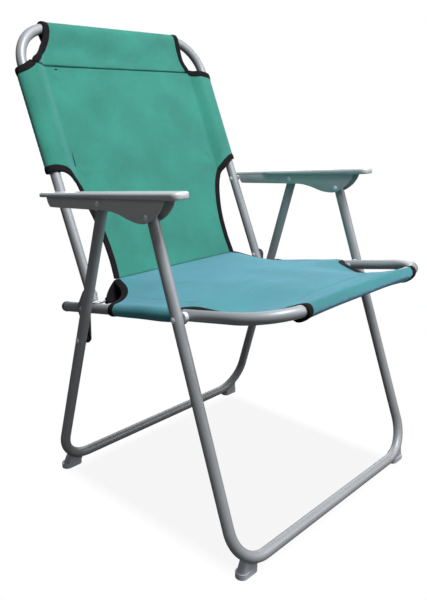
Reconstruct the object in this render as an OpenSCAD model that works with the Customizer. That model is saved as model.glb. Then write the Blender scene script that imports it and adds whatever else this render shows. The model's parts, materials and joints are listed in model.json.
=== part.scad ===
// Folding camp chair: two U-shaped leg frames, a seat frame and a back frame of bent steel tube,
// two moulded armrests, two link plates and a sewn fabric.
// Front is -Y, up is +Z, X runs across the chair. The chair stands on z = 0.
// Side-view points are [y, z]. Every pivot axis runs along X.

/* [Tube] */
// Outside diameter of the steel tube
tube_d = 19; // [18:0.5:20]
// Wall thickness of the steel tube
tube_wall = 1.2; // [1:0.1:1.6]
// Centre-line radius of the leg frame corners
leg_bend_r = 65; // [55:1:75]
// Centre-line radius of the back and seat frame corners
frame_bend_r = 75; // [65:1:85]

/* [Widths] */
// Half distance between the leg tubes at the floor end
leg_half_bottom = 264; // [262:0.5:266]
// Half distance between the leg tubes at the armrests
leg_half_top = 256; // [255.5:0.5:256.5]
// Half distance between the side tubes of the back and seat frames
frame_half = 232; // [230:0.5:232]

/* [Leg frames] */
// Height of the ground tubes above the floor, to their centre line
ground_z = 28; // [24:1:32]
// How far forward the front ground tube is
front_ground_y = -289; // [-292:1:-286]
// How far back the rear ground tube is
rear_ground_y = 175; // [172:1:178]

/* [Pivots, side view] */
// Rear leg to armrest
pivot_rear_arm = [25.5, 558.5]; // [0:0.5:600]
// Front leg to armrest
pivot_front_arm = [-91.5, 551]; // [-200:0.5:600]
// Back frame to armrest
pivot_back_arm = [173, 546.5]; // [0:0.5:600]
// Front leg to seat frame
pivot_front_seat = [-148, 403]; // [-200:0.5:600]
// Link plate to seat frame
pivot_link_seat = [115, 355]; // [0:0.5:600]
// Link plate to back frame
pivot_link_back = [99.5, 382.5]; // [0:0.5:600]
// Link plate to rear leg
pivot_link_leg = [96, 306]; // [0:0.5:600]

/* [Back and seat] */
// Length of the back frame from its lower pivot to the centre of the top tube
back_len = 502; // [495:1:508]
// How far the seat arm tubes run back past the link pivot
seat_tail = 60; // [55:1:65]
// How far the seat frame runs forward of the front leg pivot
seat_nose = 164; // [160:1:168]

/* [Armrests] */
// Length of the armrest top
arm_len = 350; // [345:1:355]
// Width of the armrest top
arm_w = 34; // [32:0.5:36]
// Wall thickness of the armrest
arm_wall = 2.5; // [2.3:0.1:2.6]
// Height of the rolled lip round the armrest top
arm_lip = 9; // [7:0.5:11]
// Corner radius at the front of the armrest top
arm_corner_r = 11; // [8:0.5:14]

/* [Fabric] */
// Thickness of one layer of the fabric
cloth_t = 1.2; // [1:0.1:1.6]
// Half width of the fabric at the crease between back and seat
crease_half = 161; // [155:1:168]

/* [Hidden] */
$fn = 64;
tube_r = tube_d / 2;
bore_r = tube_r - tube_wall;
overlap = 1;
joint_step = 0.12;
joint_depth = 2;

rivet_r = 2.5;
rivet_play = 0.05;
head_r = 5;
head_h = 1.7;
link_t = 2;
link_gap = 1.6;
link_x = frame_half + tube_r + link_gap;
side_gap = 0.4;

// angle that a line from p up to q leans towards +Y, in degrees
function lean(p, q) = atan2(q[0] - p[0], q[1] - p[1]);
// distance between two side-view points
function gap(p, q) = norm(q - p);
// half distance between the leg tubes at a side-view point of the frame that stands on this ground tube
function leg_half(p, ground) = leg_half_bottom - (gap(ground, p) - leg_bend_r) * tan(leg_splay);

front_ground = [front_ground_y, ground_z];
rear_ground = [rear_ground_y, ground_z];
front_lean = lean(front_ground, pivot_front_arm);
rear_lean = lean(rear_ground, pivot_rear_arm);
front_len = gap(front_ground, pivot_front_arm);
rear_len = gap(rear_ground, pivot_rear_arm);
leg_splay = atan((leg_half_bottom - leg_half_top) / (rear_len - leg_bend_r));
leg_over = 7;

back_lean = lean(pivot_link_back, pivot_back_arm);
back_under = 12;
seat_lean = atan2(pivot_front_seat[1] - pivot_link_seat[1], pivot_link_seat[0] - pivot_front_seat[0]);
seat_span = gap(pivot_front_seat, pivot_link_seat);
rod_r = 2.5;
rod_at = [97.5, 365.5];

arm_rise = 6.1;
arm_top_over = 14.5;
arm_inner_x = frame_half + tube_r + 1.8;
arm_channel = tube_d + 2;
arm_outer_x = arm_inner_x + 2 * arm_wall + arm_channel;
arm_tail = 16;

// ---- building blocks ----

module ring2d(step = 0) {
    difference() {
        circle(r = tube_r - step);
        circle(r = bore_r + step);
    }
}

module pipe(length, step = 0) {
    linear_extrude(height = length) ring2d(step);
}

// a tube elbow in the XZ plane, centred on the origin, from straight down round to angle a
module elbow(radius, a) {
    rotate([90, 0, 0]) rotate([0, 0, -90]) rotate_extrude(angle = a, $fn = 128)
        translate([radius, 0]) ring2d();
}

// one half of a U frame in the XZ plane: half a cross tube at z = 0, a corner and a side tube,
// whose end steps into the wall of the corner
module half_u(half, radius, splay, length) {
    corner_x = half - radius;
    rotate([0, 90, 0]) pipe(corner_x);
    translate([corner_x, 0, radius]) {
        elbow(radius, 90 + splay);
        translate([radius * cos(splay), 0, radius * sin(splay)]) rotate([0, -splay, 0])
            translate([0, 0, -joint_depth])
                pipe(length / cos(splay) - radius * (1 + sin(splay)) + joint_depth, joint_step);
    }
}

module u_frame(half, radius, splay, length) {
    for (side = [0, 1]) mirror([side, 0, 0]) half_u(half, radius, splay, length);
}

// places children in the plane of a frame that leans back by an angle from a side-view point
module leaning(p, angle) {
    translate([0, p[0], p[1]]) rotate([-angle, 0, 0]) children();
}

// a hole along X at a side-view point, through both sides of the chair
module cross_hole(p, r = rivet_r + rivet_play) {
    translate([-300, p[0], p[1]]) rotate([0, 90, 0]) cylinder(r = r, h = 600);
}

// a rivet along X between two distances from the middle, with a head at each end that has one
module rivet(p, x_in, x_out, head_in = true, head_out = true) {
    translate([0, p[0], p[1]]) rotate([0, 90, 0]) {
        translate([0, 0, x_in]) cylinder(r = rivet_r, h = x_out - x_in);
        if (head_out) translate([0, 0, x_out]) rivet_head();
        if (head_in) translate([0, 0, x_in]) mirror([0, 0, 1]) rivet_head();
    }
}

// a low domed head standing on z = 0
module rivet_head() {
    dome_r = (head_r * head_r + head_h * head_h) / (2 * head_h);
    intersection() {
        translate([0, 0, head_h - dome_r]) sphere(r = dome_r, $fn = 96);
        cylinder(r = head_r, h = head_h);
    }
}

module spacer(p, x_in, x_out, r) {
    translate([x_in, p[0], p[1]]) rotate([0, 90, 0]) difference() {
        cylinder(r = r, h = x_out - x_in);
        translate([0, 0, -overlap])
            cylinder(r = rivet_r + rivet_play, h = x_out - x_in + 2 * overlap);
    }
}

module on_side(side) {
    mirror([side < 0 ? 1 : 0, 0, 0]) children();
}

// ---- leg frames ----

module rear_leg() {
    color("dimgray") difference() {
        leaning(rear_ground, rear_lean)
            u_frame(leg_half_bottom, leg_bend_r, leg_splay, rear_len + leg_over);
        cross_hole(pivot_rear_arm);
        cross_hole(pivot_link_leg);
    }
}

module front_leg() {
    color("dimgray") difference() {
        leaning(front_ground, front_lean)
            u_frame(leg_half_bottom, leg_bend_r, leg_splay, front_len + leg_over);
        cross_hole(pivot_front_arm);
        cross_hole(pivot_front_seat);
    }
}

foot_outer = 252;
foot_inner = 209;
foot_base_h = 10;
foot_base_r = 11;
foot_inset = 1.8;
foot_top = 42;
// how far the right feet stand out beyond the mirror image of the left ones
foot_out = 22;

// the outline of a foot: a straight-sided oval across the chair, inset at its outer end
module foot_outline(inset) {
    r = foot_base_r - inset;
    hull() {
        translate([foot_outer - inset - r, 0]) circle(r = r);
        translate([foot_inner + r, 0]) circle(r = r);
    }
}

// a moulded foot under a leg corner: an oval base with a stub that leans in to cup the tube;
// out is how far the foot stands out from its place under the corner
module foot(y_floor, stub_reach, out, plane_lean, ground) {
    color([0.25, 0.26, 0.28]) difference() {
        translate([out, y_floor, 0]) {
            linear_extrude(height = foot_base_h) foot_outline(0);
            hull() {
                translate([0, 0, foot_base_h / 2]) linear_extrude(height = 1) foot_outline(foot_inset);
                translate([-out * 0.7, stub_reach, foot_top - 1]) linear_extrude(height = 1)
                    foot_outline(foot_inset + 2);
            }
        }
        leaning(ground, plane_lean)
            translate([leg_half_bottom - leg_bend_r, 0, leg_bend_r]) rotate([90, 0, 0]) {
                cylinder(r = leg_bend_r + tube_r * 0.4, h = 80, center = true, $fn = 128);
                rotate_extrude($fn = 128) translate([leg_bend_r, 0]) circle(r = tube_r + 0.05);
            }
    }
}

module rear_foot(out) {
    foot(191, -17, out, rear_lean, rear_ground);
}

module front_foot(out) {
    foot(-276, -6, out, front_lean, front_ground);
}

// the rivets that hold the link plates to the rear leg end inside the tube's inner wall
module rear_leg_rivets() {
    x_leg = leg_half(pivot_link_leg, rear_ground);
    color("silver") for (side = [-1, 1]) on_side(side)
        rivet(pivot_link_leg, x_leg - tube_r + side_gap, x_leg + tube_r + 0.05, head_in = false);
}

module front_leg_rivets() {
    x_leg = leg_half(pivot_front_seat, front_ground);
    color("silver") for (side = [-1, 1]) on_side(side)
        rivet(pivot_front_seat, x_leg - tube_r + side_gap, x_leg + tube_r + 0.05, head_in = false);
}

// outline of a band looped round a hub at the origin, its ends sewn together above
module loop_outline(hub_r, tip_r) {
    hull() {
        circle(r = hub_r);
        translate([-strap_rise, 0]) circle(r = tip_r);
    }
}

strap_rise = 17;
strap_t = 1.4;

// a short webbing loop round the spacer of the left link plate
module strap_loop() {
    x_in = link_x + link_t + side_gap;
    strap_w = 2.6;
    ring_r = 8.2;
    color([0.06, 0.06, 0.06])
        translate([-x_in - strap_w, pivot_link_leg[0], pivot_link_leg[1]]) rotate([0, 90, 0])
            linear_extrude(height = strap_w) difference() {
                loop_outline(ring_r, 2.6);
                loop_outline(ring_r - strap_t, 2.6 - strap_t);
            }
}

// ---- armrests ----

// the armrest frame: origin above the rear end on the top surface, -Y forward along the top
arm_origin = [pivot_back_arm[0] + arm_tail, pivot_back_arm[1] + arm_top_over - arm_tail * tan(arm_rise)];

module arm_frame() {
    translate([0, arm_origin[0], arm_origin[1]]) rotate([-arm_rise, 0, 0]) children();
}

// a side-view point in the armrest's own frame
function in_arm(p) = let (d = p - arm_origin)
    [d[0] * cos(arm_rise) - d[1] * sin(arm_rise), d[0] * sin(arm_rise) + d[1] * cos(arm_rise)];

lobe_r = 24;
lobe_at = in_arm([pivot_front_arm[0], pivot_front_arm[1] + 14]);
wall_shallow = -22.5;
wall_rear_y = -19;
step_start = lobe_at[0] + 26;
step_end = lobe_at[0] + 96;

// lower edge of the side wall where it deepens from the shallow rear part to the front lobe
function wall_edge(t) = wall_shallow
    + (lobe_at[1] - lobe_r + 1 - wall_shallow) * (1 - cos(180 * t)) / 2;

module wall_outline() {
    steps = 10;
    polygon(concat(
        [[wall_rear_y, -arm_wall], [wall_rear_y - 9, wall_shallow + 1]],
        [for (i = [0 : steps]) let (t = i / steps) [step_end + (step_start - 26 - step_end) * t, wall_edge(t)]],
        [[lobe_at[0] - lobe_r + 4, lobe_at[1] - 4], [lobe_at[0] - lobe_r - 15, -arm_wall]]));
    translate(lobe_at) circle(r = lobe_r);
}

// a wall plate in the YZ plane from x1 to x2, cut from the outline
module wall_plate(x1, x2) {
    intersection() {
        translate([x1, 0, 0]) rotate([90, 0, 90]) linear_extrude(height = x2 - x1) wall_outline();
        translate([x1 - 1, -arm_len, -100]) cube([x2 - x1 + 2, arm_len, 100 - arm_wall / 2]);
    }
}

// plan of the armrest top, with round ends and a straight inner edge beside the back tube
module top_plan(edge) {
    x_mid = (arm_inner_x + arm_outer_x) / 2;
    r = arm_w / 2 - edge;
    corner = arm_corner_r - edge;
    difference() {
        union() {
            for (x = [corner - r, r - corner])
                translate([x_mid + x, edge + corner - arm_len]) circle(r = corner);
            translate([x_mid - r + corner, edge - arm_len]) square([2 * (r - corner), corner]);
            translate([x_mid - r, edge + corner - arm_len])
                square([2 * r, arm_len - 2 * edge - corner - 8]);
            translate([x_mid, -8 - edge]) intersection() {
                circle(r = r);
                translate([-r, -r]) square([2 * r, r + 8]);
            }
        }
        translate([arm_inner_x - 20 + edge, -95]) square([20, 200]);
    }
}

module armrest() {
    color([0.62, 0.63, 0.64]) difference() {
        arm_frame() {
            translate([0, 0, -arm_wall]) linear_extrude(height = arm_wall) top_plan(0);
            translate([0, 0, -arm_lip]) linear_extrude(height = arm_lip - arm_wall / 2) difference() {
                top_plan(0.6);
                top_plan(3.4);
            }
            wall_plate(arm_inner_x, arm_inner_x + arm_wall);
            wall_plate(arm_outer_x - arm_wall, arm_outer_x);
        }
        cross_hole(pivot_rear_arm);
        cross_hole(pivot_front_arm);
        translate([0, pivot_back_arm[0], pivot_back_arm[1]]) rotate([0, 90, 0])
            cylinder(r = rivet_r + rivet_play, h = (arm_inner_x + arm_outer_x) / 2);
    }
}

module armrest_rivets() {
    color("silver") {
        for (p = [pivot_rear_arm, pivot_front_arm]) rivet(p, arm_inner_x - 0.05, arm_outer_x + 0.05);
        rivet(pivot_back_arm, frame_half - tube_r - 0.05, arm_inner_x + arm_wall + 0.05);
    }
}

// ---- back ----

module back_frame() {
    color("gray") difference() {
        leaning(pivot_link_back, back_lean) translate([0, 0, back_len]) mirror([0, 0, 1])
            u_frame(frame_half, frame_bend_r, 0, back_len + back_under);
        cross_hole(pivot_link_back);
        cross_hole(pivot_back_arm);
    }
}

// a plastic plug in the lower end of the back tube
module back_cap() {
    color([0.75, 0.76, 0.78]) leaning(pivot_link_back, back_lean)
        translate([frame_half, 0, -back_under + 0.05]) cylinder(r = bore_r - 0.05, h = 7);
}

hem = 60;
seam_t = 2 * cloth_t;
sleeve_play = 0.35;

// cross-section of a hem round a tube at the origin, its seam reaching out along +X
module hem_section() {
    inner = tube_r + sleeve_play;
    difference() {
        union() {
            circle(r = inner + cloth_t);
            polygon([[0, inner + cloth_t], [hem, seam_t / 2], [hem, -seam_t / 2], [0, -inner - cloth_t]]);
        }
        circle(r = inner);
        polygon([[0, inner], [hem - 8, 0.2], [hem - 8, -0.2], [0, -inner]]);
    }
}

back_hem_low = 228;
back_hem_high = 420;
back_panel_low = 46;

module back_panel_outline() {
    side = frame_half - hem + 4;
    top = back_len - hem + 4;
    waist = crease_half + 4;
    polygon(concat(
        [[waist, back_panel_low], [waist + 3, 110]],
        [for (a = [0 : 15 : 90]) [side + (waist + 3 - side) * cos(a), 110 + (back_hem_low - 110) * sin(a)]],
        [[side, top]],
        [[-side, top]],
        [for (a = [90 : -15 : 0]) [-side - (waist + 3 - side) * cos(a), 110 + (back_hem_low - 110) * sin(a)]],
        [[-waist - 3, 110], [-waist, back_panel_low]]));
}

module back_fabric() {
    color([0.28, 0.63, 0.57]) leaning(pivot_link_back, back_lean) {
        rotate([90, 0, 0]) linear_extrude(height = seam_t, center = true) back_panel_outline();
        for (side = [0, 1]) mirror([side, 0, 0]) translate([frame_half, 0, back_hem_low])
            mirror([1, 0, 0]) linear_extrude(height = back_hem_high - back_hem_low) hem_section();
        translate([-crease_half, 0, back_len]) rotate([0, 90, 0])
            linear_extrude(height = 2 * crease_half) hem_section();
    }
}

// ---- seat ----

module seat_frame_place() {
    translate([0, pivot_link_seat[0], pivot_link_seat[1]]) rotate([-seat_lean, 0, 0]) children();
}

module seat_frame() {
    color("gray") difference() {
        seat_frame_place() translate([0, -seat_span - seat_nose, 0]) rotate([-90, 0, 0])
            u_frame(frame_half, frame_bend_r, 0, seat_nose + seat_span + seat_tail);
        cross_hole(pivot_link_seat);
        cross_hole(pivot_front_seat);
        translate([-frame_half, rod_at[0], rod_at[1]]) rotate([0, 90, 0])
            cylinder(r = rod_r + rivet_play, h = 2 * frame_half);
    }
}

// a round-ended plastic plug in the rear end of the seat arm
module seat_plug() {
    plug_r = tube_r + 0.3;
    color([0.35, 0.36, 0.37]) seat_frame_place()
        translate([frame_half, seat_tail + 0.05, 0]) rotate([-90, 0, 0]) rotate_extrude() {
            translate([0, -14]) square([bore_r - 0.05, 15]);
            square([plug_r, 3]);
            translate([0, 3]) intersection() {
                circle(r = plug_r);
                square(plug_r);
            }
        }
}

module seat_spacers() {
    x_leg = leg_half(pivot_front_seat, front_ground);
    color([0.82, 0.83, 0.84]) for (side = [-1, 1]) on_side(side)
        spacer(pivot_front_seat, frame_half + tube_r + 0.05, x_leg - tube_r - side_gap, 8.5);
}

module seat_rivets() {
    x_leg = leg_half(pivot_front_seat, front_ground);
    color("silver") for (side = [-1, 1]) on_side(side)
        rivet(pivot_front_seat, frame_half - tube_r - 0.05, x_leg - tube_r - side_gap - 0.05,
              head_out = false);
}

// the rod that holds the fabric down at the crease, between the inner walls of the seat arms
module cross_rod() {
    reach = frame_half;
    color("silver") translate([-reach, rod_at[0], rod_at[1]]) rotate([0, 90, 0])
        cylinder(r = rod_r, h = 2 * reach);
}

seat_hem_rear = 84;
seat_hem_front = seat_span - 11;
seat_panel_rear = 34;
crease_rise = 41;

// height of the seat cloth above the line of the seat arms, at a distance forward of the link pivot
function seat_rise(s) = crease_rise - (crease_rise - tube_r) * s / (seat_span + seat_nose);

// half width of the seat cloth at a distance forward of the link pivot
function seat_side(s) = s < seat_hem_rear
    ? crease_half + 4 + (frame_half - 30 - crease_half) * pow(s / seat_hem_rear, 3)
    : s < seat_hem_front
        ? frame_half - 26
        : crease_half + (frame_half - 26 - crease_half)
            * sqrt(max(0, 1 - pow((s - seat_hem_front) / (seat_span + seat_nose - seat_hem_front), 2)));

module seat_panel() {
    ends = [for (s = [seat_panel_rear : 20 : seat_span + seat_nose - 2]) s];
    slope = atan2(crease_rise - tube_r, seat_span + seat_nose);
    translate([0, 0, crease_rise]) rotate([slope, 0, 0]) translate([0, 0, -seam_t])
        linear_extrude(height = seam_t) polygon(concat(
            [for (s = ends) [seat_side(s), -s]],
            [for (i = [len(ends) - 1 : -1 : 0]) [-seat_side(ends[i]), -ends[i]]]));
}

module seat_fabric() {
    color([0.36, 0.66, 0.7]) seat_frame_place() {
        seat_panel();
        for (side = [0, 1]) mirror([side, 0, 0]) translate([frame_half, -seat_hem_rear, 0])
            rotate([90, 0, 0]) linear_extrude(height = seat_hem_front - seat_hem_rear)
                rotate(141) seat_hem_section();
        translate([-crease_half, -seat_span - seat_nose, 0]) rotate([90, 0, 90])
            linear_extrude(height = 2 * crease_half) front_hem_section();
    }
}

// the side hem rises from the seat arm to the edge of the panel
module seat_hem_section() {
    inner = tube_r + sleeve_play;
    reach = 39;
    difference() {
        union() {
            circle(r = inner + cloth_t);
            polygon([[0, inner + cloth_t], [reach, seam_t / 2], [reach, -seam_t / 2],
                     [0, -inner - cloth_t]]);
        }
        circle(r = inner);
        polygon([[0, inner], [reach - 8, 0.2], [reach - 8, -0.2], [0, -inner]]);
    }
}

module front_hem_section() {
    inner = tube_r + sleeve_play;
    difference() {
        union() {
            circle(r = inner + cloth_t);
            polygon([[0, inner + cloth_t], [hem, seat_rise(seat_span + seat_nose - hem)],
                     [hem, seat_rise(seat_span + seat_nose - hem) - seam_t], [0, -inner - cloth_t]]);
        }
        circle(r = inner);
        polygon([[0, inner], [hem - 8, seat_rise(seat_span + seat_nose - hem) - seam_t],
                 [0, -inner]]);
    }
}

// the black strip sewn into the crease, with its hem round the cross rod
module crease_flap() {
    flap_half = 200;
    color([0.06, 0.06, 0.06]) difference() {
        union() {
            translate([-flap_half, rod_at[0], rod_at[1]]) rotate([0, 90, 0])
                cylinder(r = rod_r + cloth_t + 0.3, h = 2 * flap_half);
            translate([-crease_half, 0, 0]) rotate([90, 0, 90]) linear_extrude(height = 2 * crease_half)
                polygon([rod_at - [0.8, 0], rod_at + [0.8, 0], rod_at + [1.6, 22], rod_at + [0, 22]]);
        }
        translate([-frame_half, rod_at[0], rod_at[1]]) rotate([0, 90, 0])
            cylinder(r = rod_r + 0.3, h = 2 * frame_half);
    }
}

// ---- links ----

module link_plate() {
    color([0.45, 0.46, 0.48]) difference() {
        translate([link_x, 0, 0]) rotate([90, 0, 90]) linear_extrude(height = link_t) hull() {
            translate(pivot_link_back) circle(r = 11, $fn = 32);
            translate(pivot_link_seat) circle(r = 11, $fn = 32);
            translate(pivot_link_leg) circle(r = 6.5, $fn = 32);
        }
        for (p = [pivot_link_back, pivot_link_seat, pivot_link_leg]) cross_hole(p);
    }
}

module link_rivets() {
    x_leg = leg_half(pivot_link_leg, rear_ground);
    x_plate = link_x + link_t;
    color("silver") {
        for (p = [pivot_link_back, pivot_link_seat])
            rivet(p, frame_half - tube_r - 0.05, x_plate + 0.05);
        rivet(pivot_link_leg, link_x - 0.05, x_leg - tube_r - side_gap - 0.05, head_out = false);
    }
}

module link_spacer() {
    x_leg = leg_half(pivot_link_leg, rear_ground);
    color([0.1, 0.1, 0.1]) spacer(pivot_link_leg, link_x + link_t + 0.05, x_leg - tube_r - side_gap, 6);
}

rear_leg();
on_side(-1) rear_foot(0);  // rear_foot_left
rear_foot(foot_out);  // rear_foot_right
rear_leg_rivets();
strap_loop();
front_leg();
on_side(-1) front_foot(0);  // front_foot_left
front_foot(foot_out);  // front_foot_right
front_leg_rivets();
on_side(-1) armrest();  // armrest_left
armrest();  // armrest_right
on_side(-1) armrest_rivets();  // armrest_rivets_left
armrest_rivets();  // armrest_rivets_right
back_frame();
on_side(-1) back_cap();  // back_cap_left
back_cap();  // back_cap_right
back_fabric();
seat_frame();
on_side(-1) seat_plug();  // seat_plug_left
seat_plug();  // seat_plug_right
seat_spacers();
seat_rivets();
cross_rod();
seat_fabric();
crease_flap();
on_side(-1) link_plate();  // link_left
link_plate();  // link_right
on_side(-1) link_rivets();  // link_rivets_left
link_rivets();  // link_rivets_right
on_side(-1) link_spacer();  // link_spacer_left
link_spacer();  // link_spacer_right
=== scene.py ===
"""A folding camp chair: cloth, piping, armrests, materials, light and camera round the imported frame."""
import json
import math

import bmesh
import bpy
import numpy as np
from mathutils import Matrix, Vector, geometry


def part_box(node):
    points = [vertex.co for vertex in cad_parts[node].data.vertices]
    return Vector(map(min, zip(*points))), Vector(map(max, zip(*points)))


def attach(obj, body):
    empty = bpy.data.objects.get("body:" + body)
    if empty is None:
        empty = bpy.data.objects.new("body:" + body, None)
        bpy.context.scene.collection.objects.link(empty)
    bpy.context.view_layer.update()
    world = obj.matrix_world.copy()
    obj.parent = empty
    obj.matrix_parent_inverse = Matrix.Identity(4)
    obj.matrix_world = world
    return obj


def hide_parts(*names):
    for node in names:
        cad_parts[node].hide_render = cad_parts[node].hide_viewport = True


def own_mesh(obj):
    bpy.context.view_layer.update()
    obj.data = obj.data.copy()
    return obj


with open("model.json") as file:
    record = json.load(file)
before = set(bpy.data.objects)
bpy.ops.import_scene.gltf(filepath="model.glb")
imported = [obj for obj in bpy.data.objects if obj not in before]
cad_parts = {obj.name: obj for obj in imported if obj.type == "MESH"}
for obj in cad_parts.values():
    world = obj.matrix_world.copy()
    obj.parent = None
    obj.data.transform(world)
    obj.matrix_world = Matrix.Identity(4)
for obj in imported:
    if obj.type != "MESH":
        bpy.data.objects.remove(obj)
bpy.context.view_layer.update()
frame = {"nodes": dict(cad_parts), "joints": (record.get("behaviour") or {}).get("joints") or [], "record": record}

# ---- the frame's own measures, in metres ----

TUBE_R = 0.0095
CLOTH_T = 0.0011
TAPE_W = 0.0122
TAPE_T = 0.0042
CLOTH_PITCH = 0.005
TAPE_PITCH = 0.004
# the step along the flat cloth that finds its direction on the chair
PROBE = 0.0015
WELD_GAP = 0.00001


def node_middle(node):
    lo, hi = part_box(node)
    return (Vector(lo) + Vector(hi)) / 2


PIVOT = {j["name"]: Vector(j["pos_m"]) for j in frame["joints"]}
ARM_BACK = PIVOT["back_fold"]
LINK_BACK = PIVOT["link_left_fold"]
LINK_SEAT = PIVOT["seat_fold"]
LEG_SEAT = node_middle("front_leg_rivets")
SIDE_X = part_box("back_frame")[1][0] - TUBE_R


class Place:
    """A sheet's own frame: x across the chair, along its length, and out of its visible face."""

    def __init__(self, origin, towards, face_up):
        self.origin = np.array((0, origin.y, origin.z))
        self.along = np.array((0, towards.y - origin.y, towards.z - origin.z))
        self.along /= np.linalg.norm(self.along)
        turn = 1 if face_up else -1
        self.out = turn * np.array((0, self.along[2], -self.along[1]))

    def at(self, x, along, out):
        x, along, out = np.broadcast_arrays(*(np.asarray(a, float) for a in (x, along, out)))
        across = np.stack([x, np.zeros_like(x), np.zeros_like(x)], -1)
        return self.origin + across + along[..., None] * self.along + out[..., None] * self.out


BACK = Place(LINK_BACK, ARM_BACK, face_up=False)
SEAT = Place(LINK_SEAT, LEG_SEAT, face_up=True)
BACK_TOP = float(np.linalg.norm(
    (np.array((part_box("back_frame")[1][1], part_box("back_frame")[1][2])) - TUBE_R)
    - BACK.origin[1:]))
SEAT_FRONT = float((SEAT.origin[1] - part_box("seat_frame")[0][1] - TUBE_R) / -SEAT.along[1])


# ---- small mathematics ----

def smooth_step(t):
    """0 up to 0, 1 from 1, and smooth between."""
    t = np.clip(t, 0, 1)
    return t * t * (3 - 2 * t)


def bump(t):
    """0 at 0 and 1, and 1 in the middle."""
    t = np.clip(t, 0, 1)
    return np.sin(np.pi * t) ** 2


def spline(points, steps=12):
    """A smooth curve through points, as an array."""
    p = np.array(points, float)
    p = np.vstack([2 * p[0] - p[1], p, 2 * p[-1] - p[-2]])
    t = np.linspace(0, 1, steps, endpoint=False)[:, None]
    out = []
    for a, b, c, d in zip(p[:-3], p[1:-2], p[2:-1], p[3:]):
        out.append(0.5 * (2 * b + (c - a) * t + (2 * a - 5 * b + 4 * c - d) * t ** 2
                          + (3 * b - a - 3 * c + d) * t ** 3))
    return np.vstack(out + [p[-2][None]])


def lengths(curve):
    """The length of the curve up to each of its points."""
    steps = np.linalg.norm(np.diff(curve, axis=0), axis=1)
    return np.concatenate([[0], np.cumsum(steps)])


def even(curve, pitch):
    """The curve again, with points at about that pitch."""
    run = lengths(curve)
    at = np.linspace(0, run[-1], max(2, int(round(run[-1] / pitch)) + 1))
    return np.stack([np.interp(at, run, curve[:, k]) for k in range(curve.shape[1])], 1)


class Fold:
    """How a sheet runs round a tube: (distance, height) as a function of the length of cloth."""

    def __init__(self, points):
        self.curve = spline(np.array(points, float) / 1000)
        self.run = lengths(self.curve) + self.curve[0][0]

    def __call__(self, u):
        return (np.interp(u, self.run, self.curve[:, 0]),
                np.interp(u, self.run, self.curve[:, 1]))

    def length_at(self, index):
        """Length of cloth at one of the points that the fold was made from."""
        return float(self.run[index * 12])


# ---- objects ----

def new_object(name, verts, faces, body, material):
    """A smooth mesh that rides a body."""
    mesh = bpy.data.meshes.new(name)
    mesh.from_pydata([tuple(map(float, v)) for v in verts], [], [tuple(map(int, f)) for f in faces])
    mesh.update()
    obj = bpy.data.objects.new(name, mesh)
    bpy.context.scene.collection.objects.link(obj)
    for polygon in mesh.polygons:
        polygon.use_smooth = True
    mesh.materials.append(material)
    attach(obj, body)
    return obj


def set_uv(obj, uv):
    """UVs in metres of cloth, one for each vertex."""
    layer = obj.data.uv_layers.new(name="cloth")
    for loop in obj.data.loops:
        layer.data[loop.index].uv = uv[loop.vertex_index]


def outward(obj):
    """Welds the mesh and turns its faces outward."""
    mesh = bmesh.new()
    mesh.from_mesh(obj.data)
    bmesh.ops.remove_doubles(mesh, verts=mesh.verts, dist=1e-6)
    bmesh.ops.recalc_face_normals(mesh, faces=mesh.faces)
    mesh.to_mesh(obj.data)
    mesh.free()


def apply_modifiers(obj):
    bpy.context.view_layer.objects.active = obj
    for modifier in list(obj.modifiers):
        with bpy.context.temp_override(object=obj, active_object=obj):
            bpy.ops.object.modifier_apply(modifier=modifier.name)


def thicken(obj, thickness):
    """Gives a sheet its thickness, half on each side."""
    modifier = obj.modifiers.new("cloth", "SOLIDIFY")
    modifier.thickness = thickness
    modifier.offset = 0
    apply_modifiers(obj)


def grid_faces(rows, cols, close=False):
    """Quads over a grid of vertices; close joins the last column to the first."""
    faces = []
    for i in range(rows - 1):
        for j in range(cols if close else cols - 1):
            k = (j + 1) % cols
            faces.append((i * cols + j, i * cols + k, (i + 1) * cols + k, (i + 1) * cols + j))
    return faces


def cut_sheet(outline, pitch):
    """A flat cut, meshed inside its outline: (points, triangles)."""
    edge = even(np.vstack([outline, outline[:1]]), pitch)[:-1]
    n = len(edge)
    lo, hi = edge.min(0), edge.max(0)
    rows = np.arange(lo[1], hi[1], pitch * 0.866)
    inner = []
    for i, y in enumerate(rows):
        for x in np.arange(lo[0] + (i % 2) * pitch / 2, hi[0], pitch):
            inner.append((x, y))
    inner = np.array(inner)
    nearest = np.full(len(inner), 9.0)
    for e in edge:
        nearest = np.minimum(nearest, np.hypot(*(inner - e).T))
    inner = inner[nearest > 0.62 * pitch]
    points = [Vector(p) for p in np.vstack([edge, inner])]
    loop = [(i, (i + 1) % n) for i in range(n)]
    verts, _, faces, *_ = geometry.delaunay_2d_cdt(points, loop, [list(range(n))], 1, 1e-7)
    return np.array([tuple(v) for v in verts]), faces


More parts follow.
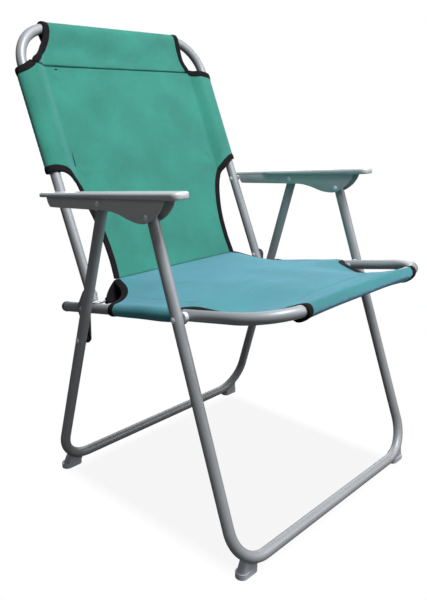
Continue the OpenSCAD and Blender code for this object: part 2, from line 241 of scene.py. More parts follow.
def sweep(name, path, normals, section, body, material, closed=False):
    """A section swept along a path. normals point to the section's second axis."""
    n = len(path)
    if closed:
        ahead, behind = np.roll(path, -1, 0), np.roll(path, 1, 0)
    else:
        ahead = np.vstack([path[1:], path[-1:]])
        behind = np.vstack([path[:1], path[:-1]])
    tangent = ahead - behind
    tangent /= np.linalg.norm(tangent, axis=1)[:, None]
    up = normals - (normals * tangent).sum(1)[:, None] * tangent
    up /= np.linalg.norm(up, axis=1)[:, None]
    side = np.cross(tangent, up)
    verts = []
    for i in range(n):
        for a, b in section:
            verts.append(path[i] + side[i] * a + up[i] * b)
    m = len(section)
    faces = grid_faces(n, m, close=True)
    if closed:
        faces += [((n - 1) * m + j, (n - 1) * m + (j + 1) % m, (j + 1) % m, j) for j in range(m)]
    else:
        faces += [tuple(range(m))[::-1], tuple((n - 1) * m + j for j in range(m))]
    obj = new_object(name, verts, faces, body, material)
    run = lengths(path)
    around = lengths(np.array(section + section[:1]))
    uv = [(run[i], around[j]) for i in range(n) for j in range(m)]
    set_uv(obj, uv)
    outward(obj)
    return obj


# ---- materials ----

def nodes_of(name):
    material = bpy.data.materials.new(name)
    material.use_nodes = True
    tree = material.node_tree
    return material, tree, tree.nodes["Principled BSDF"]


def add(tree, kind, **values):
    """A new shader node, with these values on its inputs."""
    node = tree.nodes.new(kind)
    for key, value in values.items():
        node.inputs[key].default_value = value
    return node


def ramp(tree, factor, stops):
    """A colour ramp over a factor, as an output socket."""
    node = tree.nodes.new("ShaderNodeValToRGB")
    tree.links.new(factor, node.inputs["Fac"])
    while len(node.color_ramp.elements) < len(stops):
        node.color_ramp.elements.new(0.5)
    for element, (at, colour) in zip(node.color_ramp.elements, stops):
        element.position = at
        element.color = (*colour, 1)
    return node.outputs["Color"]


def maths(tree, operation, a, b=None):
    """One Math node, from sockets or plain numbers, as an output socket."""
    node = tree.nodes.new("ShaderNodeMath")
    node.operation = operation
    for socket, value in zip(node.inputs, (a, b)):
        if value is None:
            continue
        if isinstance(value, (int, float)):
            socket.default_value = value
        else:
            tree.links.new(value, socket)
    return node.outputs[0]


def scaled(colour, factor):
    return tuple(min(1.0, c * factor) for c in colour)


def bump_to(tree, shader, height, distance):
    node = tree.nodes.new("ShaderNodeBump")
    node.inputs["Distance"].default_value = distance
    tree.links.new(height, node.inputs["Height"])
    tree.links.new(node.outputs["Normal"], shader.inputs["Normal"])


def weave_height(tree, uv, pitch):
    """Plain weave: threads over and under, from the cloth's own coordinates."""
    split = tree.nodes.new("ShaderNodeSeparateXYZ")
    tree.links.new(uv, split.inputs[0])
    turn = math.pi / pitch
    waves = [maths(tree, "SINE", maths(tree, "MULTIPLY", split.outputs[k], turn)) for k in (0, 1)]
    cross = maths(tree, "MULTIPLY", *waves)
    ribs = [maths(tree, "ABSOLUTE", w) for w in waves]
    return maths(tree, "ADD", maths(tree, "MULTIPLY", cross, 0.5), maths(tree, "MULTIPLY", *ribs))


def fabric(name, colour, pitch, rough, sheen, sheen_tint, depth, gloss=0.35):
    """Woven cloth: a weave and slubs from its own coordinates, and a mottled tone."""
    material, tree, shader = nodes_of(name)
    uv = tree.nodes.new("ShaderNodeUVMap")
    uv.uv_map = "cloth"
    position = tree.nodes.new("ShaderNodeTexCoord")
    blotch = add(tree, "ShaderNodeTexNoise", Scale=13.0, Detail=6.0)
    tree.links.new(position.outputs["Object"], blotch.inputs["Vector"])
    slub = add(tree, "ShaderNodeTexNoise", Scale=420.0, Detail=3.0)
    stretch = add(tree, "ShaderNodeMapping")
    stretch.inputs["Scale"].default_value = (1.0, 0.22, 1.0)
    tree.links.new(uv.outputs[0], stretch.inputs["Vector"])
    tree.links.new(stretch.outputs[0], slub.inputs["Vector"])
    weave = weave_height(tree, uv.outputs[0], pitch)
    tone = maths(tree, "ADD", maths(tree, "MULTIPLY", blotch.outputs["Fac"], 0.6),
                 maths(tree, "MULTIPLY", slub.outputs["Fac"], 0.4))
    tone = maths(tree, "ADD", tone, maths(tree, "MULTIPLY", weave, 0.10))
    stops = [(0.3, scaled(colour, 0.72)), (0.55, colour), (0.8, scaled(colour, 1.28))]
    tree.links.new(ramp(tree, tone, stops), shader.inputs["Base Color"])
    shader.inputs["Roughness"].default_value = rough
    shader.inputs["Sheen Weight"].default_value = sheen
    shader.inputs["Sheen Roughness"].default_value = 0.45
    shader.inputs["Sheen Tint"].default_value = (*sheen_tint, 1)
    shader.inputs["Specular IOR Level"].default_value = gloss
    height = maths(tree, "ADD", weave, maths(tree, "MULTIPLY", slub.outputs["Fac"], 0.5))
    bump_to(tree, shader, height, depth)
    return material


FLECK = 0.06


def painted(name, colour, rough, metallic, coat, grain, grain_depth):
    """Powder coat or moulded plastic: a fine orange-peel grain and a slight change of tone."""
    material, tree, shader = nodes_of(name)
    position = tree.nodes.new("ShaderNodeTexCoord")
    fine = add(tree, "ShaderNodeTexNoise", Scale=grain, Detail=3.0)
    broad = add(tree, "ShaderNodeTexNoise", Scale=11.0, Detail=4.0)
    for node in (fine, broad):
        tree.links.new(position.outputs["Object"], node.inputs["Vector"])
    tone = maths(tree, "ADD", maths(tree, "MULTIPLY", fine.outputs["Fac"], 0.35),
                 maths(tree, "MULTIPLY", broad.outputs["Fac"], 0.65))
    stops = [(0.3, scaled(colour, 1 - FLECK)), (0.5, colour), (0.7, scaled(colour, 1 + FLECK))]
    tree.links.new(ramp(tree, tone, stops), shader.inputs["Base Color"])
    rub = maths(tree, "ADD", maths(tree, "MULTIPLY", broad.outputs["Fac"], 0.16), rough - 0.08)
    tree.links.new(rub, shader.inputs["Roughness"])
    shader.inputs["Metallic"].default_value = metallic
    shader.inputs["Coat Weight"].default_value = coat
    shader.inputs["Coat Roughness"].default_value = 0.25
    bump_to(tree, shader, fine.outputs["Fac"], grain_depth)
    return material


def brushed(name, colour, rough, metallic):
    """Bare or plated steel, slightly stained."""
    material, tree, shader = nodes_of(name)
    position = tree.nodes.new("ShaderNodeTexCoord")
    lines = add(tree, "ShaderNodeTexNoise", Scale=900.0, Detail=2.0)
    stains = add(tree, "ShaderNodeTexNoise", Scale=160.0, Detail=3.0)
    for node in (lines, stains):
        tree.links.new(position.outputs["Object"], node.inputs["Vector"])
    tree.links.new(ramp(tree, stains.outputs["Fac"], [(0.3, scaled(colour, 0.8)), (0.6, colour)]),
                   shader.inputs["Base Color"])
    tree.links.new(maths(tree, "ADD", maths(tree, "MULTIPLY", lines.outputs["Fac"], 0.2),
                         rough - 0.1),
                   shader.inputs["Roughness"])
    shader.inputs["Metallic"].default_value = metallic
    bump_to(tree, shader, lines.outputs["Fac"], 0.00003)
    return material


TEAL = (0.031, 0.250, 0.180)
# the seat is the same cloth as the back, coloured bluer with a strong blue sheen: a painted reflection of the sky
# on its upturned face; the back's fainter blue sheen is the same painted reflection
SEAT_CLOTH_PAINTED_SKY = fabric("teal_seat_cloth_painted_sky", (0.027, 0.254, 0.226), 0.0011, 0.74, 0.95,
                        (0.42, 0.66, 1.0), 0.0004)
MATERIAL = {
    "polyester": fabric("teal_back_polyester", TEAL, 0.0011, 0.74, 0.35, (0.5, 0.8, 1.0), 0.0004),
    # the thread is painted a quarter lighter than the cloth: painted light that makes up for the shade in its
    # crevices
    "thread": fabric("teal_thread", scaled(TEAL, 1.25), 0.0004, 0.7, 0.2, (0.6, 0.8, 0.9), 0.00005),
    "black_webbing": fabric("black_tape", (0.006, 0.004, 0.005), 0.0009, 0.8, 0.03,
                            (0.9, 0.65, 0.75), 0.0002, 0.18),
    "frame_tube": painted("grey_powder_coat", (0.32, 0.323, 0.332), 0.45, 0.2, 0.1, 600.0,
                          0.000004),
    "armrest_plastic": painted("grey_armrest_plastic", (0.52, 0.522, 0.526), 0.28, 0.0, 0.3, 700.0,
                               0.00001),
    "foot_plastic": painted("dark_foot_plastic", (0.52, 0.53, 0.56), 0.5, 0.0, 0.1, 700.0, 0.00003),
    "plug_plastic": painted("dark_plug_plastic", (0.12, 0.12, 0.13), 0.45, 0.0, 0.1, 1200.0,
                            0.00005),
    "cap_plastic": painted("light_cap_plastic", (0.62, 0.63, 0.65), 0.4, 0.0, 0.2, 1200.0, 0.00004),
    "link_steel": painted("grey_link_paint", (0.25, 0.255, 0.27), 0.4, 0.4, 0.2, 1400.0, 0.00004),
    "rivet_steel": brushed("rivet_steel", (0.93, 0.93, 0.94), 0.26, 0.3),
    "rod_steel": brushed("rod_steel", (0.6, 0.6, 0.62), 0.38, 0.8),
}


def shade_smooth(node, angle=35):
    """Smooth shading on a CAD node, its sharp edges kept."""
    weld = node.modifiers.new("weld", "WELD")
    weld.merge_threshold = WELD_GAP
    for polygon in node.data.polygons:
        polygon.use_smooth = True
    edge = node.modifiers.new("edges", "EDGE_SPLIT")
    edge.split_angle = math.radians(angle)


for part in frame["record"]["subparts"]:
    node = frame["nodes"][part["node"]]
    node.data.materials.clear()
    node.data.materials.append(MATERIAL[part["material_slot"]])
    shade_smooth(node)


# ---- cloth folds round the tubes ----

SEAM_X = 188
FOLD_X = 248
side_fold = Fold([(0, 0), (90, 0), (SEAM_X - 8, 0.3), (SEAM_X + 3, 3), (203, 10.5), (209, 12.6),
                  (219, 12.4), (232, 11.4), (241, 8.2), (246.5, 4), (FOLD_X, -0.5), (246, -5.5),
                  (240, -9.6), (231, -11.5), (214, -9.5), (199, -4.5), (SEAM_X, -1.6),
                  (SEAM_X - 6, -1.5)])
SIDE_FOLD_U = side_fold.length_at(10)
SIDE_END_U = side_fold.length_at(17)
TOP = BACK_TOP * 1000
SEAM_S = 425
top_fold = Fold([(18, 0), (200, 0), (SEAM_S - 8, 0.2), (SEAM_S + 3, 1.6), (455, 5.5), (484, 9.6),
                 (TOP, 11.3), (TOP + 8.2, 8), (TOP + 11.4, 1), (TOP + 9.5, -6), (TOP + 1, -11.4),
                 (480, -9.2), (452, -5), (SEAM_S + 3, -1.8), (SEAM_S - 5, -1.5)])
TOP_FOLD_V = top_fold.length_at(8)
TOP_END_V = top_fold.length_at(14)
CREASE_S = 0.0165


def back_outline(side):
    """One side of the back's cut, from the crease up to the end of the top hem, in metres."""
    left = side < 0
    waist = ([(172, 16.5), (170, 57), (173, 102), (181, 148), (193, 190), (204, 211), (217, 224),
              (234, 229)] if left
             else [(160, 16.5), (157, 60), (160, 108), (172, 155), (188, 188), (208, 210),
                   (226, 220), (238, 224)])
    corner = ([(238, 424), (222, 433), (203, 446), (187, 464), (176, 482), (171, 498)] if left
              else [(236, 424), (215, 427), (194, 430), (183, 440), (177, 458), (173, 478),
                    (171, 498)])
    low = spline(np.array(waist) / 1000, 8)
    high = spline(np.array(corner) / 1000, 8)
    low[:, 0] = np.where(low[:, 0] > 0.2,
                         np.interp(low[:, 0], side_fold.curve[:120, 0], side_fold.run[:120]),
                         low[:, 0])
    hem_low = np.array([(SIDE_FOLD_U, 0.229 if left else 0.226), (SIDE_END_U, 0.236)])
    hem_high = np.array([(SIDE_END_U, 0.415), (SIDE_FOLD_U, 0.421)])
    high[:, 0] = np.interp(high[:, 0], side_fold.curve[:120, 0], side_fold.run[:120])
    high[:, 1] = np.interp(high[:, 1], top_fold.curve[:96, 0], top_fold.run[:96])
    end = np.array([(0.171, TOP_FOLD_V), (0.168, TOP_END_V)])
    return np.vstack([low, hem_low, hem_high, high, end])


def back_wrinkle(x, s, front):
    """How far the cloth stands off its plane, in metres: slack under the top hem and at the seams."""
    top = bump((s - 0.425) / 0.075)
    slack = -0.0042 * top * (0.8 + 0.5 * np.sin(x * 21 + s * 34))
    folds = 0.0016 * top * np.sin(x * 52 - s * 95 + 1.3 * np.sin(x * 17))
    hollow = -0.0035 * bump((s - 0.02) / 0.40) * (1 - smooth_step(np.abs(x) / 0.185))
    ripples = 0.0007 * np.sin(x * 33 + 2 * np.sin(s * 19)) * bump((s - 0.03) / 0.38)
    pull = np.zeros_like(x)
    for sx in (-1, 1):
        for sy in (0.232, 0.418):
            away = np.hypot(x - sx * 0.186, s - sy)
            turn = np.arctan2(s - sy, x - sx * 0.186)
            fade = np.exp(-(away / 0.05) ** 2) * smooth_step(away / 0.02)
            pull += 0.0009 * np.sin(turn * 5 + sy * 40) * fade
    pull *= smooth_step((0.186 - np.abs(x)) / 0.02)
    return (slack + folds + hollow + ripples + pull) * front


def back_point(u, v):
    """Where a point of the flat cut lies on the chair."""
    x, side = side_fold(np.abs(u))
    s, top = top_fold(v)
    front = (smooth_step((SIDE_FOLD_U - 0.02 - np.abs(u)) / 0.03)
             * smooth_step((TOP_FOLD_V - 0.012 - v) / 0.025))
    side = side * smooth_step((0.5 - s) / 0.03)
    out = side + top + back_wrinkle(np.sign(u) * x, s, front)
    return BACK.at(np.sign(u) * x, s, out)


def sheet_object(name, outline, mapper, pitch, body, material):
    """A flat cut laid on the chair: mapper takes its flat points to their places."""
    flat, faces = cut_sheet(outline, pitch)
    points = mapper(flat[:, 0], flat[:, 1])
    obj = new_object(name, points, faces, body, material)
    set_uv(obj, flat)
    return obj


def both_sides(half):
    """A closed outline from a function that gives one side's, from bottom to top."""
    right, left = half(1), half(-1)
    return np.vstack([right, (left * (-1, 1))[::-1]])


def bind(name, cut, mapper, body, flip=1):
    """Tape over the cut edge of a sheet: cut is its path on the flat cloth, the cloth on its left."""
    cut = even(cut, TAPE_PITCH)
    ahead = np.vstack([cut[1:], cut[-1:] * 2 - cut[-2:-1]]) - np.vstack([cut[:1] * 2 - cut[1:2],
                                                                         cut[:-1]])
    ahead /= np.linalg.norm(ahead, axis=1)[:, None]
    inward = np.stack([-ahead[:, 1], ahead[:, 0]], 1) * flip
    edge = mapper(cut[:, 0], cut[:, 1])
    deeper = [mapper(*(cut + inward * d).T) for d in (PROBE, TAPE_W * 0.5, TAPE_W)]
    tangent = np.vstack([edge[1:],
                         edge[-1:] * 2 - edge[-2:-1]]) - np.vstack([edge[:1] * 2 - edge[1:2],
                                                                    edge[:-1]])
    tangent /= np.linalg.norm(tangent, axis=1)[:, None]
    into = deeper[0] - edge
    normal = np.cross(tangent, into)
    normal /= np.linalg.norm(normal, axis=1)[:, None]
    r = TAPE_T / 2
    nose = edge - into / np.linalg.norm(into, axis=1)[:, None] * r * 0.8
    rings = [deeper[2] + normal * r * 0.45, deeper[1] + normal * r, edge + normal * r * 0.95,
             nose + normal * r * 0.45, nose - normal * r * 0.45,
             edge - normal * r * 0.95, deeper[1] - normal * r, deeper[2] - normal * r * 0.45]
    m, n = len(rings), len(cut)
    verts = np.stack(rings, 1).reshape(-1, 3)
    faces = grid_faces(n, m, close=True) + [tuple(range(m))[::-1],
                                            tuple((n - 1) * m + j for j in range(m))]
    obj = new_object(name, verts, faces, body, MATERIAL["black_webbing"])
    run = lengths(edge)
    across = [0, 0.5, 1, 1.15, 1.3, 1.45, 1.95, 2.45]
    set_uv(obj, [(run[i], across[j] * TAPE_W) for i in range(n) for j in range(m)])
    outward(obj)
    obj.modifiers.new("round", "SUBSURF").levels = 1
    obj.modifiers["round"].render_levels = 1
    apply_modifiers(obj)
    return obj


back_cut = both_sides(back_outline)
back_cloth = sheet_object("back_cloth", back_cut, back_point, CLOTH_PITCH, "back",
                          MATERIAL["polyester"])
thicken(back_cloth, CLOTH_T)
back_tapes = [bind(f"back_tape_{label}", back_outline(side) * (side, 1), back_point, "back",
                   flip=side)
              for side, label in ((-1, "left"), (1, "right"))]
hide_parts("back_fabric")


# ---- seat cloth, its cut in millimetres ----

FRONT = SEAT_FRONT * 1000
CREASE_H = 41
CREASE_X = 161
CREASE_W = 13.1
seat_side = Fold([(0, 0), (120, 0), (200, 0), (222, 0), (233, 0), (240, -3), (243.6, -8.5),
                  (243.8, -15), (241, -20), (234, -22.5), (224, -20), (210, -14), (196, -8),
                  (190, -6)])
SEAT_FOLD_U = seat_side.length_at(6)
SEAT_END_U = seat_side.length_at(13)
seat_nose = Fold([(CREASE_W, 0), (200, 0), (380, 0), (FRONT, 0), (FRONT + 7.6, -3),
                  (FRONT + 10.9, -10), (FRONT + 9, -17.5), (FRONT, -22.5), (FRONT - 12, -23.5),
                  (FRONT - 22, -16), (FRONT - 28, -6), (FRONT - 36, -1.6)])
SEAT_NOSE_V = seat_nose.length_at(6)
SEAT_END_V = seat_nose.length_at(11)
SLEEVE_BACK = 79
SLEEVE_FRONT = 255


def seat_height(x, w):
    """Height of the seat's top face over the line of its arms, in metres."""
    right = x > 0
    x, w = np.abs(x) * 1000, w * 1000
    q = np.clip((w - CREASE_W) / (FRONT - CREASE_W), 0, 1)
    middle = CREASE_H + (10.9 - CREASE_H) * q - 5 * 4 * q * (1 - q)
    flat = CREASE_X * (1 - q) ** 1.5
    share = 1 - smooth_step((x - flat) / (SIDE_X * 1000 + 1 - flat))
    droop = bump((w - 235) / (FRONT + 14 - 235)) ** 0.6 * smooth_step((x - 60) / 130) * (x < 236)
    droop *= np.where(right, -24, -16)
    ripple = 0.7 * np.sin(x * 0.045 + 1.2 * np.sin(w * 0.018)) * bump(q)
    ripple += 0.5 * np.sin(w * 0.06 + x * 0.02) * bump(q)
    return (10.9 + (middle - 10.9) * share + droop + ripple) / 1000


def seat_point(u, v):
    """Where a point of the flat seat cut lies on the chair."""
    x, drop = seat_side(np.abs(u))
    w, dip = seat_nose(v)
    over = smooth_step((np.abs(u) - SEAT_FOLD_U) / (SEAT_END_U - SEAT_FOLD_U))
    loose = 0.35 + 0.65 * smooth_step((w - 0.07) / 0.15)
    base = seat_height(np.sign(u) * np.minimum(x, 0.233), w)
    side = drop * (1 - over * (1 - loose)) * np.where(np.abs(u) > 0.2, 1, 0)
    return SEAT.at(np.sign(u) * x, w, base + side + dip)


def seat_outline(side):
    """One side of the seat's cut, from the crease to the end of the front hem, in metres."""
    rear = ([(172, CREASE_W), (177, 26), (183, 43), (192, 57), (205, 68), (219, 74),
             (232, 77)] if side < 0
            else [(160, CREASE_W), (168, 27), (177, 45), (188, 59), (202, 71), (217, 76),
                  (232, 78)])
    front = ([(230, SLEEVE_FRONT), (216, 266), (207, 300), (202, 340), (194, 375), (183, 402),
              (171, 419), (165, 428)]
             if side < 0 else
             [(230, SLEEVE_FRONT), (217, 262), (211, 277), (200, 308), (190, 342), (180, 365),
              (170, 390), (165, 415), (163, 428)])
    rear = spline(np.array(rear) / 1000, 8)
    front = spline(np.array(front) / 1000, 8)
    hem = np.array([(SEAT_FOLD_U, SLEEVE_BACK / 1000), (SEAT_END_U, 0.084),
                    (SEAT_END_U, 0.248), (SEAT_FOLD_U, SLEEVE_FRONT / 1000)])
    end = np.array([(0.163, SEAT_NOSE_V), (0.162, SEAT_END_V)])
    return np.vstack([rear, hem, front, end])


seat_cut = both_sides(seat_outline)
seat_cloth = sheet_object("seat_cloth", seat_cut, seat_point, CLOTH_PITCH, "seat", SEAT_CLOTH_PAINTED_SKY)
thicken(seat_cloth, CLOTH_T)
seat_tapes = [bind(f"seat_tape_{label}", seat_outline(side) * (side, 1), seat_point, "seat",
                   flip=side)
              for side, label in ((-1, "left"), (1, "right"))]
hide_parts("seat_fabric")


# ---- crease flap and strap ----

FLAP_ROD_HALF = 0.204
flap_section = spline([(0, 0), (-2.5, -9), (-6.5, -20), (-11.5, -28), (-15.8, -31.5),
                       (-16.2, -34.5), (-13.5, -36.6), (-9.8, -36), (-8.2, -33), (-9, -29),
                       (-11, -25)], 4) / 1000
CREASE = BACK.at(0, CREASE_S, 0)
flap_run = lengths(flap_section)
flap_hem = 16
flap_rows, flap_uv = [], []
for k, (dy, dz) in enumerate(flap_section):
    down = min(1, flap_run[k] / flap_run[flap_hem])
    low = -0.174 - (FLAP_ROD_HALF - 0.174) * math.sin(down * math.pi / 2)
    high = 0.161 + (FLAP_ROD_HALF - 0.161) * math.sin(down * math.pi / 2)
    for x in np.linspace(low, high, 48):
        ripple = 0.0012 * math.sin(x * 70) * math.sin(math.pi * down)
        flap_rows.append((x, CREASE[1] + dy + ripple, CREASE[2] + dz))
        flap_uv.append((x, flap_run[k]))
flap = new_object("crease_flap_cloth", flap_rows, grid_faces(len(flap_section), 48), "seat",
                  MATERIAL["black_webbing"])
set_uv(flap, flap_uv)
thicken(flap, 0.0013)
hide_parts("crease_flap")

LINK_LEG = node_middle("link_spacer_left")
STRAP_X = LINK_LEG.x - 0.0004
around = [(math.sin(a) * 7.6, -math.cos(a) * 7.6) for a in np.linspace(-1.9, 1.9, 15)]
strap_path = spline([*around, (5, 6.5), (2.6, 12), (1.5, 17), (0, 19.4), (-1.5, 17), (-2.6, 12),
                     (-5, 6.5), around[0]], 3)[:-1] / 1000
strap_points = np.array([(STRAP_X, LINK_LEG.y + a, LINK_LEG.z + b) for a, b in strap_path])
strap_up = np.tile((1.0, 0, 0), (len(strap_points), 1))
strap = sweep("strap_webbing", strap_points, strap_up,
              [(-0.0011, -0.0014), (0.0011, -0.0014), (0.0013, 0), (0.0011, 0.0014),
               (-0.0011, 0.0014), (-0.0013, 0)],
              "link_left_body", MATERIAL["black_webbing"], closed=True)
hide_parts("strap_loop")


# ---- armrests, in millimetres ----

ARM_RISE = math.radians(6.1)
ARM_LEN = 350
ARM_BACK_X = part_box("armrest_right")[1][0] * 1000
ARM_INNER_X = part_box("armrest_right")[0][0] * 1000
ARM_MID = (ARM_BACK_X + ARM_INNER_X) / 2
ARM_HALF = 17
ARM_ORIGIN = np.array((ARM_BACK.y * 1000 + 16, ARM_BACK.z * 1000 + 14.5 - 16 * math.tan(ARM_RISE)))
WALL = [(168.9, 556), (164.5, 545), (158.5, 538.4), (150, 538), (100, 542.3), (40.1, 547.3),
        (10, 549.7), (-3.8, 550.6), (-18, 549.6), (-35.5, 546.6), (-52, 542.6), (-65.9, 540.6),
        (-84.2, 540.8), (-97.8, 545.1), (-109, 552), (-119, 561), (-126, 571), (-130, 580)]


def arm_place(x, a, h):
    """From across, forward along the top and above the top to the chair, in metres."""
    y = ARM_ORIGIN[0] - a * math.cos(ARM_RISE) + h * math.sin(ARM_RISE)
    z = ARM_ORIGIN[1] + a * math.sin(ARM_RISE) + h * math.cos(ARM_RISE)
    return (x / 1000, y / 1000, z / 1000)


def in_arm(point):
    """From the chair to (forward along the top, above the top), in millimetres."""
    dy, dz = point[0] - ARM_ORIGIN[0], point[1] - ARM_ORIGIN[1]
    return (-dy * math.cos(ARM_RISE) + dz * math.sin(ARM_RISE),
            dy * math.sin(ARM_RISE) + dz * math.cos(ARM_RISE))


def inset(loop, distance):
    """A closed loop moved inward; loops run anticlockwise."""
    ahead = np.roll(loop, -1, 0) - np.roll(loop, 1, 0)
    ahead /= np.linalg.norm(ahead, axis=1)[:, None]
    return loop + np.stack([-ahead[:, 1], ahead[:, 0]], 1) * distance


def closed_even(points, pitch):
    points = np.vstack([points, points[:1]])
    return even(points, pitch)[:-1]


def top_plan():
    """Plan of the armrest top, (across, forward), anticlockwise, round the corners."""
    corners = ((ARM_HALF, 0, 8), (ARM_HALF, ARM_LEN, 11), (-ARM_HALF, ARM_LEN, 11),
               (-ARM_HALF, 0, 8))
    loop = []
    for k, (x, a, r) in enumerate(corners):
        centre = (x - math.copysign(r, x), a + r if a == 0 else a - r)
        for turn in np.linspace(-90, 0, 9) + 90 * k:
            loop.append((centre[0] + r * math.cos(math.radians(turn)),
                         centre[1] + r * math.sin(math.radians(turn))))
    return closed_even(np.array(loop), 2.5)


def stack(rings):
    """Rings joined one to the next, with both ends closed."""
    n = len(rings[0])
    verts = [v for ring in rings for v in ring]
    faces = grid_faces(len(rings), n, close=True)
    faces += [tuple(range(n))[::-1], tuple((len(rings) - 1) * n + j for j in range(n))]
    return verts, faces


def armrest_shell(side):
    """The armrest's top with its rolled lip, open below."""
    plan = top_plan()

    def ring(distance, height):
        loop = inset(plan, distance)
        notch = 3.6 * (1 - smooth_step((loop[:, 1] - 88) / 22)) * (loop[:, 0] < 0)
        lip = 8 + 3.5 * smooth_step(loop[:, 1] / ARM_LEN)
        out = []
        for (x, a), shift, deep in zip(loop, notch, lip):
            h = height if height > -5 else height + 8 - deep
            out.append(arm_place(side * (ARM_MID + x + shift), a, h))
        return out

    profile = [(8, 0), (5.2, 0), (3.6, -0.2), (2.1, -0.9), (0.9, -2.0), (0.2, -3.5), (0, -4.9),
               (0.1, -5.9), (0.7, -7.1), (1.7, -7.8), (2.8, -8), (3.7, -7.5), (4.2, -6.4),
               (4.3, -5.2), (4.4, -3.4), (5.2, -2.8), (8, -2.7)]
    return stack([ring(*step) for step in profile])


def armrest_wall(side, x_from, x_to):
    """One of the two walls that hang below the top and carry the rivets."""
    outline = spline([in_arm(p) for p in WALL], 4)
    top_end, top_start = outline[-1], outline[0]
    loop = closed_even(np.vstack([outline, [(top_end[0], -2.2), (top_start[0], -2.2)]]), 2.0)
    area = np.dot(loop[:, 0], np.roll(loop[:, 1], -1)) - np.dot(loop[:, 1], np.roll(loop[:, 0], -1))
    loop = loop if area > 0 else loop[::-1]
    rings = [(0.8, 0), (0.25, 0.2), (0, 0.8), (0, x_to - x_from - 0.8), (0.25, x_to - x_from - 0.2),
             (0.8, x_to - x_from)]
    return stack([[arm_place(side * (x_from + x), a, h) for a, h in inset(loop, d)] for d,
                  x in rings])


def armrest(label, side):
    """A whole armrest moulding, in place of its CAD node."""
    wall_in, wall_out = ARM_MID - 13.1, ARM_MID + 13.1
    verts, faces = [], []
    for piece in (armrest_shell(side), armrest_wall(side, wall_in, wall_in + 2.5),
                  armrest_wall(side, wall_out - 2.5, wall_out)):
        faces += [tuple(i + len(verts) for i in face) for face in piece[1]]
        verts += piece[0]
    obj = new_object(f"armrest_top_{label}", verts, faces, f"armrest_{label}_body",
                     MATERIAL["armrest_plastic"])
    outward(obj)
    edge = obj.modifiers.new("edges", "EDGE_SPLIT")
    edge.split_angle = math.radians(50)
    apply_modifiers(obj)
    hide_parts(f"armrest_{label}")


armrest("left", -1)
armrest("right", 1)


# ---- stitches ----

def stitches(name, mapper, path, body, lift=0.0008, pitch=0.0042, length=0.0029, width=0.0006):
    """A run of thread along a path on the flat cloth."""
    path = even(np.array(path, float), pitch)
    point = mapper(path[:, 0], path[:, 1])
    across = mapper(path[:, 0] + PROBE, path[:, 1]) - point
    along = mapper(path[:, 0], path[:, 1] + PROBE) - point
    normal = np.cross(across, along) * (-1 if body == "seat" else 1)
    normal /= np.linalg.norm(normal, axis=1)[:, None]
    tangent = np.gradient(point, axis=0)
    tangent /= np.linalg.norm(tangent, axis=1)[:, None]
    side = np.cross(tangent, normal)
    verts, faces, uv = [], [], []
    for p, n, t, b in zip(point, normal, tangent, side):
        base = len(verts)
        centre = p + n * lift
        verts += [centre - t * length / 2 - n * 0.0005, centre + t * length / 2 - n * 0.0005]
        for at in (-0.3, 0.3):
            for sx, sn in ((-1, 0), (0, 1), (1, 0), (0, -1)):
                verts.append(centre + t * length * at + b * sx * width / 2 + n * sn * width / 2)
        ring = [[base + 2 + k * 4 + j for j in range(4)] for k in range(2)]
        for j in range(4):
            k = (j + 1) % 4
            faces += [(base, ring[0][k], ring[0][j]),
                      (ring[0][j], ring[0][k], ring[1][k], ring[1][j]),
                      (ring[1][j], ring[1][k], base + 1)]
        uv += [tuple(v[:2]) for v in verts[base:]]
    obj = new_object(name, verts, faces, body, MATERIAL["thread"])
    set_uv(obj, uv)
    outward(obj)
    return obj


def bartack(name, mapper, centre, direction, body):
    """A short dense zigzag that ends a seam."""
    c, d = np.array(centre), np.array(direction, float)
    d /= np.linalg.norm(d)
    n = np.array((-d[1], d[0]))
    zigzag = [c + d * (k - 6) * 0.0008 + n * 0.0022 * (-1) ** k for k in range(13)]
    return stitches(name, mapper, zigzag, body, lift=0.0005, pitch=0.0011, length=0.0016,
                    width=0.0004)


SIDE_SEAM = 0.184
TOP_ROWS = (0.4215, 0.4295)
NOSE_ROW = (FRONT - 34) / 1000
back_threads = [stitches(f"top_seam_{k}", back_point, [(-0.178, v), (0.178, v)], "back")
                for k, v in enumerate(TOP_ROWS)]
seat_threads = [stitches("nose_seam", seat_point, [(-0.158, NOSE_ROW), (0.158, NOSE_ROW)], "seat")]
for side, label in ((-1, "left"), (1, "right")):
    back_threads.append(stitches(f"back_seam_{label}", back_point,
                                 [(side * SIDE_SEAM, 0.24), (side * SIDE_SEAM, 0.412)], "back"))
    for k, v in enumerate((0.238, 0.414)):
        back_threads.append(bartack(f"back_tack_{label}_{k}", back_point, (side * SIDE_SEAM, v),
                                    (1, 0), "back"))
    back_threads.append(bartack(f"top_tack_{label}", back_point, (side * 0.18, sum(TOP_ROWS) / 2),
                                (0, 1), "back"))
    seat_threads.append(stitches(f"seat_seam_{label}", seat_point,
                                 [(side * 0.197, 0.09), (side * 0.197, 0.246)], "seat"))

# each piece of the back gets a mesh of its own
for piece in [back_cloth] + back_tapes + back_threads:
    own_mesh(piece)


# ---- camera, light and floor ----

def look(camera, yaw, pitch, roll):
    """Turns the camera: yaw from +Y towards +X, pitch above the horizon, roll clockwise."""
    ahead = Vector((math.sin(yaw) * math.cos(pitch), math.cos(yaw) * math.cos(pitch),
                    math.sin(pitch)))
    turn = ahead.to_track_quat("-Z", "Y").to_matrix().to_4x4()
    camera.rotation_euler = (turn @ Matrix.Rotation(roll, 4, "Z")).to_euler()


CAMERA_AT = (-0.9189, -0.8287, 0.7278)
CAMERA_LENS = 39.72
# yaw, pitch and roll in degrees
CAMERA_TURNS = (47.41, -17.20, 0.9)

camera = bpy.data.objects.new("camera", bpy.data.cameras.new("camera"))
bpy.context.scene.collection.objects.link(camera)
camera.location = CAMERA_AT
camera.data.lens = CAMERA_LENS
camera.data.sensor_width = 36
look(camera, *(math.radians(turn) for turn in CAMERA_TURNS))
bpy.context.scene.camera = camera
bpy.context.scene.view_settings.view_transform = "Standard"


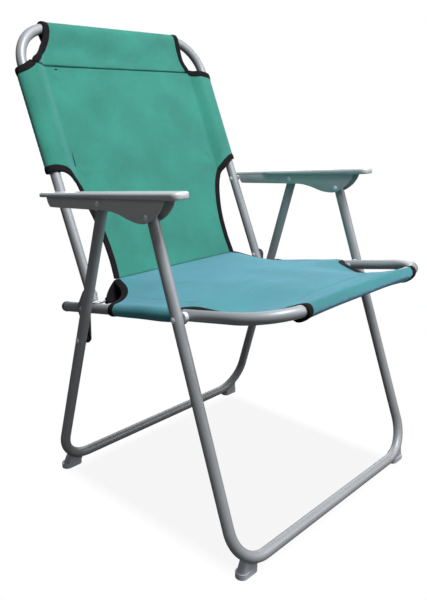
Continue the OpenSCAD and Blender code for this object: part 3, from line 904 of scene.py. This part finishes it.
def seen_or_lighting(tree, seen, lighting, output):
    """One shader for what is seen directly, another for what lights the chair."""
    path = tree.nodes.new("ShaderNodeLightPath")
    mix = tree.nodes.new("ShaderNodeMixShader")
    tree.links.new(path.outputs["Is Camera Ray"], mix.inputs[0])
    tree.links.new(lighting, mix.inputs[1])
    tree.links.new(seen, mix.inputs[2])
    tree.links.new(mix.outputs[0], output)


def soft_side(tree, value, low, high, soft):
    """1 between low and high, falling to 0 over a soft edge."""
    rise = maths(tree, "DIVIDE", maths(tree, "SUBTRACT", value, low - soft / 2), soft)
    fall = maths(tree, "DIVIDE", maths(tree, "SUBTRACT", high + soft / 2, value), soft)
    both = maths(tree, "MINIMUM", rise, fall)
    return maths(tree, "MAXIMUM", maths(tree, "MINIMUM", both, 1.0), 0.0)


# the painted shadow: a faint grey patch glowing in the floor where the chair stands, not cast by any lamp
SHADE_X = (-0.245, 0.245)
SHADE_Y = (-0.28, 0.18)
SHADE_SOFT = 0.03

bpy.ops.mesh.primitive_plane_add(size=30, location=(0, 0, 0))
floor = bpy.context.object
floor.name = "floor"
floor_material, floor_tree, floor_shader = nodes_of("white_floor")
# its glow is only for the camera, so it isn't sampled as a lamp
floor_material.cycles.emission_sampling = "NONE"
floor_shader.inputs["Base Color"].default_value = (0.08, 0.08, 0.08, 1)
floor_shader.inputs["Roughness"].default_value = 0.8
floor_spot = floor_tree.nodes.new("ShaderNodeTexCoord")
floor_xyz = floor_tree.nodes.new("ShaderNodeSeparateXYZ")
floor_tree.links.new(floor_spot.outputs["Object"], floor_xyz.inputs[0])
shade = maths(floor_tree, "MULTIPLY",
              soft_side(floor_tree, floor_xyz.outputs[0], *SHADE_X, SHADE_SOFT),
              soft_side(floor_tree, floor_xyz.outputs[1], *SHADE_Y, SHADE_SOFT))
floor_glow = floor_tree.nodes.new("ShaderNodeEmission")
# inside the patch the glow is painted 0.915 grey: painted shadow
floor_tree.links.new(ramp(floor_tree, shade, [(0.0, (1, 1, 1)), (1.0, (0.915, 0.915, 0.915))]),
                     floor_glow.inputs["Color"])
seen_or_lighting(floor_tree, floor_glow.outputs[0], floor_shader.outputs[0],
                 floor_tree.nodes["Material Output"].inputs["Surface"])
floor.data.materials.append(floor_material)

world = bpy.data.worlds.new("studio")
bpy.context.scene.world = world
world.use_nodes = True
sky_tree = world.node_tree
sky = sky_tree.nodes["Background"]
sky_spot = sky_tree.nodes.new("ShaderNodeTexCoord")
sky_xyz = sky_tree.nodes.new("ShaderNodeSeparateXYZ")
sky_tree.links.new(sky_spot.outputs["Generated"], sky_xyz.inputs[0])
sky_tree.links.new(ramp(sky_tree,
                        maths(sky_tree, "MULTIPLY", maths(sky_tree, "ADD", sky_xyz.outputs[2], 1.0),
                              0.5),
                        [(0.40, (0.02, 0.02, 0.02)), (0.56, (0.10, 0.10, 0.10)),
                         (0.75, (0.45, 0.47, 0.5)), (1.0, (0.9, 0.95, 1.0))]), sky.inputs["Color"])
sky.inputs["Strength"].default_value = 0.5
backdrop = sky_tree.nodes.new("ShaderNodeBackground")
backdrop.inputs["Color"].default_value = (1, 1, 1, 1)
seen_or_lighting(sky_tree, backdrop.outputs[0], sky.outputs[0],
                 sky_tree.nodes["World Output"].inputs["Surface"])


def area_light(name, location, aim, size, power, colour=(1, 1, 1)):
    """A rectangular lamp that faces its aim."""
    data = bpy.data.lights.new(name, "AREA")
    data.shape = "RECTANGLE"
    data.size, data.size_y = size
    data.energy = power
    data.color = colour
    light = bpy.data.objects.new(name, data)
    bpy.context.scene.collection.objects.link(light)
    light.location = location
    light.rotation_euler = (Vector(aim) - Vector(location)).to_track_quat("-Z", "Y").to_euler()


area_light("key", (1.9, -2.7, 2.0), (0, 0, 0.45), (2.1, 2.1), 44)
area_light("top", (0.0, -1.05, 2.5), (0, -0.1, 0.4), (0.8, 0.8), 74, (0.9, 0.96, 1.0))
area_light("backdrop", (1.6, 1.5, 1.15), (0, 0, 0.5), (2.2, 1.3), 24)
